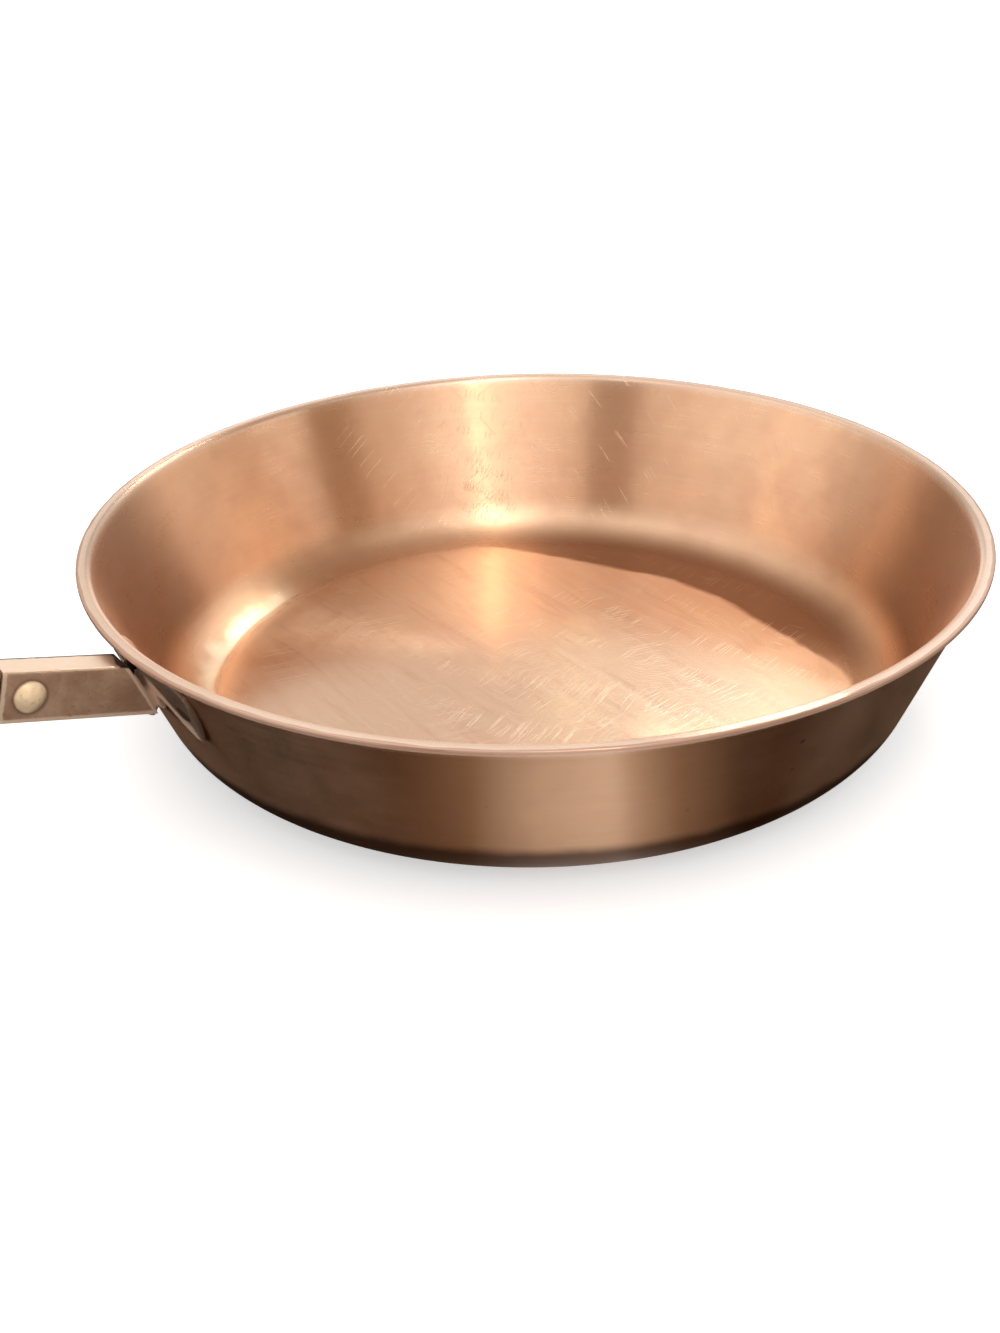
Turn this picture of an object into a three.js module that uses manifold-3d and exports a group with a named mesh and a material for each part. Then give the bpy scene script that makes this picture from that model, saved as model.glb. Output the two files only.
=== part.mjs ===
// Copper skillet: a spun pan, a folded sheet bracket riveted to its wall,
// a sheet sleeve over the bracket, and a cast grip held by one cross rivet.
// Lengths are millimetres and angles are degrees. The origin is the centre
// of the base's underside, +Z is up, and the handle lies along -X.
import * as THREE from 'three';
import { mergeVertices } from 'three/addons/utils/BufferGeometryUtils.js';
import Module from 'manifold-3d';

const wasm = await Module();
wasm.setup();

// Pan
const rimDiameter = 260;
const baseDiameter = 188;
const panDepth = 52.5;
const cornerRadius = 19;
const panSheet = 1.6;
const lipOverhang = 2.8;
const lipBendRadius = 1.8;
const lipEdgeChamfer = 0.35;

// Handle line, measured where it passes under the rim
const handleRise = 15.5;
const handleDrop = 2.2;

// Sleeve: a channel of sheet, open below, over the bracket
const sleeveWidth = 9.6;
const sleeveHeight = 13.5;
const sleeveSheet = 0.9;
const sleeveReach = 31.6;
const sleeveFrontGap = 1.2;
const sleeveShoulder = 1.1;

// Bracket: a narrower channel whose two sides fold out into wings on the wall
const bracketSheet = 1.4;
const bracketShoulder = 1.9;
const bracketBottomStep = 0.4;
const bracketEndStep = 2;
const wingTopStep = 1.6;
const wingReach = 24.5;
const wingHeight = 19.8;
const wingCorner = 4.5;
const lobeTipInset = 5.5;
const lobeTipWidth = 3;
const archInset = 15.6;
const archHeight = 10;
const wingRootHeight = 15.6;

// Grip
const gripLength = 205;
const gripWidth = 21;
const gripDepth = 9;
const gripCorner = 3.8;
const neckCorner = 1.2;
const neckLength = 16;
const flareLength = 62;
const tongueStart = 5;
const eyeDiameter = 10.5;
const eyeMargin = 5.5;

// Rivets
const gripRivetDiameter = 5;
const gripRivetHead = 8.6;
const gripRivetCrown = 2.4;
const gripRivetInset = 7.4;
const wallRivetDiameter = 5;
const wallRivetHead = 10.5;
const wallRivetCrown = 2.1;
const wallRivetTailCrown = 0.35;
const wallRivetSpacing = 38.5;
const wallRivetStep = 9.8;

// Clearances between separate pieces
const seatGap = 0.3;
const holeGap = 0.3;

// Steps that round shapes are drawn with
const turnSegments = 96;
const cornerSteps = 7;
const lipBendSteps = 4;
const holeSegments = 28;
const domeSteps = 5;
const gripStations = 18;
const tightestBend = 0.05;

const rimRadius = rimDiameter / 2;
const baseRadius = baseDiameter / 2;
const lipUnderside = panDepth - panSheet;
const rise = THREE.MathUtils.degToRad(handleRise);

// The bracket's channel fits inside the sleeve's, and the grip rivet crosses both
const bracketWidth = sleeveWidth - 2 * (sleeveSheet + seatGap);
const bracketTop = -sleeveSheet - seatGap;
const bracketBottom = -sleeveHeight + bracketBottomStep;
const gripRivetX = -sleeveReach + gripRivetInset;
const gripRivetZ = -sleeveHeight / 2;

// Wall line of the pan's outside, tangent to the corner and ending under the lip
const cornerCentre = new THREE.Vector2(baseRadius, cornerRadius);
const wallTop = new THREE.Vector2(rimRadius - lipOverhang, lipUnderside);
const cornerToTop = wallTop.clone().sub(cornerCentre);
const wallTilt = cornerToTop.angle() - Math.acos(cornerRadius / cornerToTop.length());
const wallNormal = new THREE.Vector2(Math.cos(wallTilt), Math.sin(wallTilt));

// Radius on the pan's outer wall line at a height, moved out along the wall's normal
function wallRadius(height, offset = 0) {
  const lean = (height - wallTop.y) * Math.tan(-wallTilt);
  return wallTop.x + lean + offset / wallNormal.x;
}

// The handle's own frame: outward is -X, and 0 is under the rim at the sleeve's top
const handleAnchor = new THREE.Vector3(-rimRadius, 0, lipUnderside - handleDrop);
const handleMatrix = new THREE.Matrix4()
  .makeRotationY(rise)
  .setPosition(handleAnchor);

// Position along X in the handle's frame of a line parallel to the wall
function wallInHandle(below, offset) {
  const toHandle = handleMatrix.clone().invert();
  const ends = [0, panDepth].map((height) => {
    const point = new THREE.Vector3(-wallRadius(height, offset), 0, height);
    return point.applyMatrix4(toHandle);
  });
  const slope = (ends[1].x - ends[0].x) / (ends[1].z - ends[0].z);
  return ends[0].x + (below - ends[0].z) * slope;
}

function arcPoints(centre, radius, from, to, steps) {
  const points = [];
  for (let step = 0; step <= steps; step += 1) {
    const angle = from + ((to - from) * step) / steps;
    const x = centre.x + radius * Math.cos(angle);
    const y = centre.y + radius * Math.sin(angle);
    points.push(new THREE.Vector2(x, y));
  }
  return points;
}

function toSolid(geometry) {
  const bare = geometry.clone();
  bare.deleteAttribute('normal');
  bare.deleteAttribute('uv');
  const merged = mergeVertices(bare, 1e-4);
  const corners = merged.index.array;
  const triangles = [];
  for (let first = 0; first < corners.length; first += 3) {
    const [a, b, c] = corners.slice(first, first + 3);
    if (a !== b && b !== c && c !== a) triangles.push(a, b, c);
  }
  return new wasm.Manifold(new wasm.Mesh({
    numProp: 3,
    vertProperties: new Float32Array(merged.attributes.position.array),
    triVerts: new Uint32Array(triangles),
  }));
}

function toGeometry(solid) {
  const mesh = solid.getMesh();
  const geometry = new THREE.BufferGeometry();
  geometry.setAttribute('position', new THREE.BufferAttribute(mesh.vertProperties, 3));
  geometry.setIndex(new THREE.BufferAttribute(mesh.triVerts, 1));
  geometry.computeVertexNormals();
  return geometry;
}

function toMesh(name, solid, material) {
  const mesh = new THREE.Mesh(toGeometry(solid), material);
  mesh.name = name;
  return mesh;
}

// Turned solid about Z from a profile of (radius, height)
function turned(profile, segments = turnSegments) {
  const geometry = new THREE.LatheGeometry(profile, segments);
  geometry.rotateX(Math.PI / 2);
  return toSolid(geometry);
}

// Prism of an outline in (Y, Z), from one X to another
function prismAlongX(shape, from, to) {
  const geometry = new THREE.ExtrudeGeometry(shape, {
    depth: to - from,
    bevelEnabled: false,
    curveSegments: 8,
  });
  geometry.applyMatrix4(new THREE.Matrix4().makeBasis(
    new THREE.Vector3(0, 1, 0),
    new THREE.Vector3(0, 0, 1),
    new THREE.Vector3(1, 0, 0),
  ));
  geometry.translate(from, 0, 0);
  return geometry;
}

// Prism of an outline in (X, Z), across Y from -width / 2 to width / 2
function prismAcross(points, width) {
  const geometry = new THREE.ExtrudeGeometry(new THREE.Shape(points), {
    depth: width,
    bevelEnabled: false,
  });
  geometry.rotateX(Math.PI / 2);
  geometry.translate(0, width / 2, 0);
  return geometry;
}

// Inverted U in (Y, Z), bent round the same centres inside and outside
function channelShape(width, top, bottom, sheet, shoulder) {
  const half = width / 2;
  const bend = Math.max(shoulder - sheet, tightestBend);
  const bendY = half - shoulder;
  const bendZ = top - shoulder;
  const shape = new THREE.Shape();
  shape.moveTo(-half, bottom);
  shape.lineTo(-half + sheet, bottom);
  shape.lineTo(-bendY - bend, bendZ);
  shape.absarc(-bendY, bendZ, bend, Math.PI, Math.PI / 2, true);
  shape.lineTo(bendY, bendZ + bend);
  shape.absarc(bendY, bendZ, bend, Math.PI / 2, 0, true);
  shape.lineTo(half - sheet, bottom);
  shape.lineTo(half, bottom);
  shape.lineTo(half, bendZ);
  shape.absarc(bendY, bendZ, shoulder, 0, Math.PI / 2);
  shape.lineTo(-bendY, top);
  shape.absarc(-bendY, bendZ, shoulder, Math.PI / 2, Math.PI);
  return shape;
}

// Arc of a domed head, from its edge to its crown on the axis
function domeProfile(headRadius, crown, seat, side) {
  const sphere = (headRadius * headRadius + crown * crown) / (2 * crown);
  const edge = Math.asin(headRadius / sphere);
  const points = [];
  for (let step = 0; step <= domeSteps; step += 1) {
    const angle = (edge * (domeSteps - step)) / domeSteps;
    const lift = crown - sphere + sphere * Math.cos(angle);
    points.push(new THREE.Vector2(sphere * Math.sin(angle), side * (seat + lift)));
  }
  points[domeSteps].x = 0;
  return points;
}

// Rivet about Y: one shank with a domed end on each side, where a head as wide
// as the shank is an end hammered flush
function rivetGeometry(shank, lower, upper) {
  const profile = [
    ...domeProfile(lower.head / 2, lower.crown, lower.seat, -1).reverse(),
    new THREE.Vector2(shank / 2, -lower.seat),
    new THREE.Vector2(shank / 2, upper.seat),
    ...domeProfile(upper.head / 2, upper.crown, upper.seat, 1),
  ].filter((point, place, all) => place === 0 || point.distanceTo(all[place - 1]) > 1e-6);
  return toGeometry(toSolid(new THREE.LatheGeometry(profile, holeSegments)));
}

// Outward direction and point for a wall rivet, on the wall's outer face
function wallRivetPlace(side) {
  const height = lipUnderside - wingTopStep - wallRivetStep;
  const radius = wallRadius(height);
  const turn = Math.PI - side * Math.asin(wallRivetSpacing / 2 / radius);
  const across = new THREE.Vector3(Math.cos(turn), Math.sin(turn), 0);
  const outward = across.clone().multiplyScalar(wallNormal.x);
  outward.z = wallNormal.y;
  const point = across.multiplyScalar(radius);
  point.z = height;
  const turning = new THREE.Quaternion();
  turning.setFromUnitVectors(new THREE.Vector3(0, 1, 0), outward);
  return { point, turning };
}

// Drill for the hole that a wall rivet passes through
function wallRivetDrill(side) {
  const place = wallRivetPlace(side);
  const radius = wallRivetDiameter / 2 + holeGap;
  const length = 8 * panSheet;
  const drill = new THREE.CylinderGeometry(radius, radius, length, holeSegments);
  drill.applyQuaternion(place.turning);
  drill.translate(...place.point);
  return toSolid(drill);
}

function panSolid() {
  const innerRadius = cornerRadius - panSheet;
  const bendHeight = panDepth - lipBendRadius;
  const bendOffset = lipBendRadius - panSheet;
  const bendCentre = new THREE.Vector2(wallRadius(bendHeight, bendOffset), bendHeight);
  const profile = [
    new THREE.Vector2(0, 0),
    ...arcPoints(cornerCentre, cornerRadius, -Math.PI / 2, wallTilt, cornerSteps),
    wallTop,
    new THREE.Vector2(rimRadius - lipEdgeChamfer, lipUnderside),
    new THREE.Vector2(rimRadius, lipUnderside + lipEdgeChamfer),
    new THREE.Vector2(rimRadius, panDepth - lipEdgeChamfer),
    new THREE.Vector2(rimRadius - lipEdgeChamfer, panDepth),
    ...arcPoints(bendCentre, lipBendRadius, Math.PI / 2, Math.PI + wallTilt, lipBendSteps),
    ...arcPoints(cornerCentre, innerRadius, wallTilt, -Math.PI / 2, cornerSteps),
    new THREE.Vector2(0, panSheet),
  ];
  const body = turned(profile);
  return body.subtract(wallRivetDrill(1)).subtract(wallRivetDrill(-1));
}

// One wing seen along X: a straight top, a rounded outer edge that runs down to
// a lobe's tip, and an arch that rises towards the channel
function wingShape(side) {
  const top = lipUnderside - wingTopStep;
  const inner = sleeveWidth / 2 - sleeveSheet - seatGap - bracketSheet;
  const tipY = wingReach - lobeTipInset;
  const tipZ = top - wingHeight;
  const archY = wingReach - archInset;
  const archZ = top - archHeight;
  const shape = new THREE.Shape();
  shape.moveTo(side * inner, top);
  shape.lineTo(side * (wingReach - wingCorner), top);
  shape.quadraticCurveTo(side * wingReach, top, side * wingReach, top - wingCorner);
  shape.bezierCurveTo(
    side * wingReach, top - wingHeight * 0.6,
    side * (tipY + lobeTipWidth), tipZ,
    side * tipY, tipZ,
  );
  shape.bezierCurveTo(
    side * (tipY - lobeTipWidth), tipZ,
    side * (tipY - lobeTipWidth * 0.4), archZ,
    side * archY, archZ,
  );
  shape.quadraticCurveTo(
    side * (inner + bracketSheet * 2), archZ,
    side * (inner + bracketSheet), top - wingRootHeight,
  );
  shape.lineTo(side * inner, top - wingRootHeight);
  return shape;
}

// Channel inside the sleeve, joined to a wing on each side that lies on the wall
function bracketSolid() {
  const low = lipUnderside - wingTopStep - wingHeight * 1.3;
  const high = lipUnderside;
  const inside = seatGap;
  const outside = seatGap + bracketSheet;
  const shell = turned([
    new THREE.Vector2(wallRadius(low, inside), low),
    new THREE.Vector2(wallRadius(low, outside), low),
    new THREE.Vector2(wallRadius(high, outside), high),
    new THREE.Vector2(wallRadius(high, inside), high),
    new THREE.Vector2(wallRadius(low, inside), low),
  ]);
  const wings = [1, -1].map((side) => {
    const outline = toSolid(prismAlongX(wingShape(side), -rimRadius * 1.2, 0));
    return shell.intersect(outline).subtract(wallRivetDrill(side));
  });
  const channel = channelShape(
    bracketWidth, bracketTop, bracketBottom, bracketSheet, bracketShoulder,
  );
  const run = prismAlongX(channel, -sleeveReach + bracketEndStep, cornerRadius);
  run.applyMatrix4(handleMatrix);
  const clearOfWall = turned([
    new THREE.Vector2(0, 0),
    new THREE.Vector2(wallRadius(0, inside), 0),
    new THREE.Vector2(wallRadius(panDepth, inside), panDepth),
    new THREE.Vector2(0, panDepth),
  ]);
  const drill = gripRivetDrill(bracketWidth * 2).clone();
  drill.applyMatrix4(handleMatrix);
  const sides = toSolid(run).subtract(clearOfWall).subtract(toSolid(drill));
  return sides.add(wings[0]).add(wings[1]);
}

// Drill for the hole that the grip rivet passes through, in the handle's frame
function gripRivetDrill(length) {
  const radius = gripRivetDiameter / 2 + holeGap;
  const drill = new THREE.CylinderGeometry(radius, radius, length, holeSegments);
  drill.translate(gripRivetX, 0, gripRivetZ);
  return drill;
}

function sleeveSolid() {
  const offset = seatGap + bracketSheet + sleeveFrontGap;
  const channel = channelShape(sleeveWidth, 0, -sleeveHeight, sleeveSheet, sleeveShoulder);
  const run = toSolid(prismAlongX(channel, -sleeveReach, cornerRadius));
  const side = toSolid(prismAcross([
    new THREE.Vector2(-sleeveReach, 1),
    new THREE.Vector2(-sleeveReach, -sleeveHeight - 1),
    new THREE.Vector2(wallInHandle(-sleeveHeight - 1, offset), -sleeveHeight - 1),
    new THREE.Vector2(wallInHandle(1, offset), 1),
  ], sleeveWidth * 2));
  return run.intersect(side).subtract(toSolid(gripRivetDrill(sleeveWidth * 2)));
}

// Closed ring of a rounded rectangle whose top edge is at height zero
function gripRing(x, width, depth, corner) {
  const ring = [];
  const turns = [[1, -1], [1, 1], [-1, 1], [-1, -1]];
  turns.forEach(([sideY, sideZ], quarter) => {
    const centreY = sideY * (width / 2 - corner);
    const centreZ = -depth / 2 + sideZ * (depth / 2 - corner);
    for (let step = 0; step < 5; step += 1) {
      const angle = (quarter - 1 + step / 4) * (Math.PI / 2);
      const y = centreY + corner * Math.cos(angle);
      const z = centreZ + corner * Math.sin(angle);
      ring.push(new THREE.Vector3(x, y, z));
    }
  });
  return ring;
}

// Skin over rings of equal count, closed by a fan at each end
function loftSolid(rings) {
  const count = rings[0].length;
  const positions = rings.flat().flatMap((point) => [point.x, point.y, point.z]);
  const index = [];
  for (let ring = 0; ring < rings.length - 1; ring += 1) {
    for (let side = 0; side < count; side += 1) {
      const a = ring * count + side;
      const b = ring * count + ((side + 1) % count);
      index.push(a, a + count, b);
      index.push(b, a + count, b + count);
    }
  }
  const last = (rings.length - 1) * count;
  for (let side = 1; side < count - 1; side += 1) {
    index.push(0, side, side + 1);
    index.push(last, last + side + 1, last + side);
  }
  const geometry = new THREE.BufferGeometry();
  geometry.setAttribute('position', new THREE.Float32BufferAttribute(positions, 3));
  geometry.setIndex(index);
  return toSolid(geometry);
}

function gripSolid() {
  const shoulder = sleeveReach + seatGap;
  const neckEnd = shoulder + neckLength;
  const rings = [];
  for (let station = 0; station <= gripStations; station += 1) {
    const along = shoulder + ((gripLength - shoulder) * station) / gripStations;
    const flare = THREE.MathUtils.smoothstep(along, neckEnd, neckEnd + flareLength);
    const width = THREE.MathUtils.lerp(sleeveWidth, gripWidth, flare);
    const depth = THREE.MathUtils.lerp(sleeveHeight, gripDepth, flare);
    const corner = THREE.MathUtils.lerp(neckCorner, gripCorner, flare);
    rings.push(gripRing(-along, width, depth, corner));
  }
  const roundEnd = new THREE.Shape();
  const endCentre = gripLength - gripWidth / 2;
  roundEnd.moveTo(0, -gripWidth);
  roundEnd.lineTo(0, gripWidth);
  roundEnd.lineTo(-endCentre, gripWidth / 2);
  roundEnd.absarc(-endCentre, 0, gripWidth / 2, Math.PI / 2, (3 * Math.PI) / 2);
  const plan = new THREE.ExtrudeGeometry(roundEnd, {
    depth: sleeveHeight * 3,
    bevelEnabled: false,
    curveSegments: 20,
  });
  plan.translate(0, 0, -sleeveHeight * 2);
  const eyeRadius = eyeDiameter / 2;
  const eye = new THREE.CylinderGeometry(
    eyeRadius, eyeRadius, sleeveHeight * 3, holeSegments,
  );
  eye.rotateX(Math.PI / 2);
  eye.translate(-gripLength + eyeMargin + eyeRadius, 0, 0);
  const tongueTop = bracketTop - bracketSheet - seatGap;
  const tongueWidth = bracketWidth - 2 * (bracketSheet + seatGap);
  const tongue = prismAcross([
    new THREE.Vector2(-tongueStart, tongueTop),
    new THREE.Vector2(-shoulder - neckLength / 2, tongueTop),
    new THREE.Vector2(-shoulder - neckLength / 2, bracketBottom),
    new THREE.Vector2(-tongueStart, bracketBottom),
  ], tongueWidth);
  const bar = loftSolid(rings).intersect(toSolid(plan)).subtract(toSolid(eye));
  return bar.add(toSolid(tongue)).subtract(toSolid(gripRivetDrill(sleeveWidth * 2)));
}

const copper = { color: 0xb87350, roughness: 0.32, metalness: 1 };
const brass = { color: 0xc29a5c, roughness: 0.36, metalness: 1 };
const skillet = new THREE.Group();

skillet.add(toMesh('pan_body', panSolid(), new THREE.MeshStandardMaterial(copper)));
skillet.add(toMesh('handle_bracket', bracketSolid(), new THREE.MeshStandardMaterial(copper)));

[[1, 'wall_rivet_left'], [-1, 'wall_rivet_right']].forEach(([side, name]) => {
  const place = wallRivetPlace(side);
  const inside = { head: wallRivetHead, crown: wallRivetCrown, seat: panSheet + seatGap };
  const outside = {
    head: wallRivetDiameter,
    crown: wallRivetTailCrown,
    seat: bracketSheet + seatGap,
  };
  const geometry = rivetGeometry(wallRivetDiameter, inside, outside);
  const rivet = new THREE.Mesh(geometry, new THREE.MeshStandardMaterial(copper));
  rivet.name = name;
  rivet.position.copy(place.point);
  rivet.quaternion.copy(place.turning);
  skillet.add(rivet);
});

const handle = new THREE.Group();
handle.position.copy(handleAnchor);
handle.rotation.y = rise;
handle.add(toMesh('handle_sleeve', sleeveSolid(), new THREE.MeshStandardMaterial(copper)));
handle.add(toMesh('handle_grip', gripSolid(), new THREE.MeshStandardMaterial(brass)));

const gripRivetEnd = {
  head: gripRivetHead,
  crown: gripRivetCrown,
  seat: sleeveWidth / 2 + seatGap,
};
const gripRivet = new THREE.Mesh(
  rivetGeometry(gripRivetDiameter, gripRivetEnd, gripRivetEnd),
  new THREE.MeshStandardMaterial(brass),
);
gripRivet.name = 'grip_rivet';
gripRivet.position.set(gripRivetX, 0, gripRivetZ);
handle.add(gripRivet);
skillet.add(handle);

export default skillet;
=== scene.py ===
import math
import bmesh
import bpy
from mathutils import Matrix, Quaternion, Vector


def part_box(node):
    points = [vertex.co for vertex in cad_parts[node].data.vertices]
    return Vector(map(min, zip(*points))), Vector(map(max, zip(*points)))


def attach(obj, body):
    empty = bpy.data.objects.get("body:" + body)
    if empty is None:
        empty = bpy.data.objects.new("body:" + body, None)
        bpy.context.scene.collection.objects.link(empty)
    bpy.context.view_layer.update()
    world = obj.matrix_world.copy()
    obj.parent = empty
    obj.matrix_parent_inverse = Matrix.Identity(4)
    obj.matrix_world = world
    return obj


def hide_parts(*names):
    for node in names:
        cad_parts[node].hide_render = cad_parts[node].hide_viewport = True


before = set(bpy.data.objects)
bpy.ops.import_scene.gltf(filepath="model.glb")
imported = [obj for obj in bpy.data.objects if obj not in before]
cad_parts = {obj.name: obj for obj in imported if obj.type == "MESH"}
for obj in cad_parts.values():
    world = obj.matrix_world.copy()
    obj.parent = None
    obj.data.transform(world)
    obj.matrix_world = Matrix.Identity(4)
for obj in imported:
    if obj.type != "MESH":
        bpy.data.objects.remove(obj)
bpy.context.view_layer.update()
scene = bpy.context.scene
scene.view_settings.view_transform = "Standard"
print("frame loaded", sorted(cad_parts))


# Camera
cameraSizes = {
    "place": (-0.26507, -0.36888, 0.25009),
    "aim": (-0.05926, -0.06791, 0.0525),
    "roll": math.radians(-1.574),
    "lens": 45.91,
    # Turns the frame's X and Y into "to the right" and "behind" as the camera sees them
    "viewTurn": math.radians(-35.7),
    "farthest": 50,
}


def asSeen(right, behind, above):
    return Matrix.Rotation(cameraSizes["viewTurn"], 3, "Z") @ Vector((right, behind, above))


def addCamera():
    data = bpy.data.cameras.new("photoCamera")
    data.lens = cameraSizes["lens"]
    data.clip_end = cameraSizes["farthest"]
    camera = bpy.data.objects.new("photoCamera", data)
    place, aim = Vector(cameraSizes["place"]), Vector(cameraSizes["aim"])
    turn = (aim - place).to_track_quat("-Z", "Y").to_matrix() @ Matrix.Rotation(cameraSizes["roll"], 3, "Z")
    camera.matrix_world = Matrix.Translation(place) @ turn.to_4x4()
    scene.collection.objects.link(camera)
    scene.camera = camera


addCamera()
print("camera placed")


# Node writing: a socket that can stand in a sum, and a tree that makes any other node
def operator(operation, swapped=False):
    def work(one, other):
        first, second = (other, one) if swapped else (one, other)
        return one.nodes.node("ShaderNodeMath", {0: first, 1: second}, operation=operation)
    return work


class Value:
    def __init__(self, nodes, socket):
        self.nodes, self.socket = nodes, socket

    __add__, __radd__ = operator("ADD"), operator("ADD", swapped=True)
    __sub__, __rsub__ = operator("SUBTRACT"), operator("SUBTRACT", swapped=True)
    __mul__, __rmul__ = operator("MULTIPLY"), operator("MULTIPLY", swapped=True)
    __truediv__, __pow__ = operator("DIVIDE"), operator("POWER")

    # Another output of the same node
    def beside(self, output):
        return Value(self.nodes, self.socket.node.outputs[output])


class Nodes:
    def __init__(self, tree):
        self.tree = tree
        tree.nodes.clear()

    def node(self, kind, inputs=None, out=0, **settings):
        made = self.tree.nodes.new(kind)
        for key, setting in settings.items():
            if key == "stops":
                self.setStops(made.color_ramp, setting)
            else:
                setattr(made, key, setting)
        for key, given in (inputs or {}).items():
            if isinstance(given, Value):
                self.tree.links.new(given.socket, made.inputs[key])
            else:
                made.inputs[key].default_value = given
        return Value(self, made.outputs[out]) if out is not None else None

    def setStops(self, ramp, stops):
        while len(ramp.elements) > 1:
            ramp.elements.remove(ramp.elements[0])
        ramp.elements[0].position, ramp.elements[0].color = stops[0][0], (*stops[0][1], 1)
        for place, colour in stops[1:]:
            ramp.elements.new(place).color = (*colour, 1)

    def smooth(self, value, low, high, start=0.0, end=1.0):
        return self.node("ShaderNodeMapRange", {0: value, 1: low, 2: high, 3: start, 4: end},
                         interpolation_type="SMOOTHSTEP")

    def parts(self, vector):
        cut = self.node("ShaderNodeSeparateXYZ", {0: vector})
        return [cut.beside(axis) for axis in range(3)]

    def vector(self, x, y, z):
        return self.node("ShaderNodeCombineXYZ", {0: x, 1: y, 2: z})


class Finish(Nodes):
    def __init__(self, name, tree=None):
        if tree is None:
            self.material = bpy.data.materials.new(name)
            self.material.use_nodes = True
            tree = self.material.node_tree
        super().__init__(tree)

    def noise(self, vector, scale, detail=3.0, roughness=0.5, distortion=0.0):
        given = {"Vector": vector, "Scale": scale, "Detail": detail, "Roughness": roughness,
                 "Distortion": distortion}
        return self.node("ShaderNodeTexNoise", given)

    def mix(self, factor, first, second):
        first, second = [one if isinstance(one, Value) else (*one, 1) for one in (first, second)]
        return self.node("ShaderNodeMix", {0: factor, 6: first, 7: second}, out=2, data_type="RGBA")

    def object(self):
        return self.node("ShaderNodeTexCoord", out=3)

    def placed(self, vector, turn=(0, 0, 0), stretch=(1, 1, 1), move=(0, 0, 0)):
        given = {"Vector": vector, "Location": move, "Rotation": turn, "Scale": stretch}
        return self.node("ShaderNodeMapping", given, vector_type="POINT")

    def attribute(self, name):
        return self.node("ShaderNodeAttribute", out=2, attribute_name=name)

    def metal(self, colour, roughness, height, depth, **constants):
        bump = self.node("ShaderNodeBump", {"Height": height, "Distance": depth, "Strength": 1.0})
        given = {"Base Color": colour, "Metallic": 1.0, "Roughness": roughness, "Normal": bump}
        given.update({key.replace("_", " "): value for key, value in constants.items()})
        return self.node("ShaderNodeBsdfPrincipled", given)

    def show(self, shader):
        self.node("ShaderNodeOutputMaterial", {"Surface": shader}, out=None)
        return self

    # Single thin strokes on the plane of p and q: one in each long cell, and only a share of the cells
    def strokes(self, p, q, turn, length, width, share, seed=0.0):
        along = p * math.cos(turn) + q * math.sin(turn)
        across = q * math.cos(turn) - p * math.sin(turn)
        cells = self.vector(along * (0.5 / length) + seed, across * (0.5 / width), 0.0)
        cell = self.node("ShaderNodeTexVoronoi", {"Vector": cells, "Scale": 1.0}, voronoi_dimensions="2D")
        pick = self.parts(cell.beside("Color"))[0]
        return self.smooth(cell, 0.27, 0.1) * self.smooth(pick, 1 - share, 1.02 - share)

    # Strokes of several scoured places on that plane, each fading out round its middle
    def scoured(self, p, q, places, seedStep):
        marks = []
        for number, (middleP, middleQ, reach, bearing, length, width, share) in enumerate(places):
            away = ((p - middleP) ** 2 + (q - middleQ) ** 2) ** 0.5
            lines = self.strokes(p, q, math.radians(bearing), length, width, share, number * seedStep)
            marks.append(lines * self.smooth(away, reach, reach * 0.5))
        return sum(marks)


# Mesh helpers
def newPiece(name, mesh, finish=None):
    piece = bpy.data.objects.new(name, mesh)
    scene.collection.objects.link(piece)
    if finish:
        mesh.materials.append(finish.material)
    return piece


def meshFrom(name, points, faces, edges=(), **values):
    mesh = bpy.data.meshes.new(name)
    mesh.from_pydata(points, edges, faces)
    mesh.update()
    for key, numbers in values.items():
        mesh.attributes.new(key, "FLOAT", "POINT").data.foreach_set("value", [float(n) for n in numbers])
    return mesh


# Turns live modifiers into a plain closed mesh with its faces outward
def settle(piece, weld=2e-6):
    graph = bpy.context.evaluated_depsgraph_get()
    mesh = bpy.data.meshes.new_from_object(piece.evaluated_get(graph))
    work = bmesh.new()
    work.from_mesh(mesh)
    bmesh.ops.remove_doubles(work, verts=work.verts, dist=weld)
    bmesh.ops.recalc_face_normals(work, faces=work.faces)
    if work.calc_volume(signed=True) < 0:
        bmesh.ops.reverse_faces(work, faces=work.faces)
    for face in work.faces:
        face.smooth = True
    work.to_mesh(mesh)
    work.free()
    piece.modifiers.clear()
    old, piece.data = piece.data, mesh
    mesh.name = old.name
    bpy.data.meshes.remove(old)
    return piece


def addModifier(piece, kind, **settings):
    modifier = piece.modifiers.new(kind.lower(), kind)
    for key, setting in settings.items():
        setattr(modifier, key, setting)


def handIn(piece, slot, *nodes):
    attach(piece, "root")
    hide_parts(*nodes)
    triangles = sum(len(face.vertices) - 2 for face in piece.data.polygons)
    print("piece", piece.name, triangles, "triangles")


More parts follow.
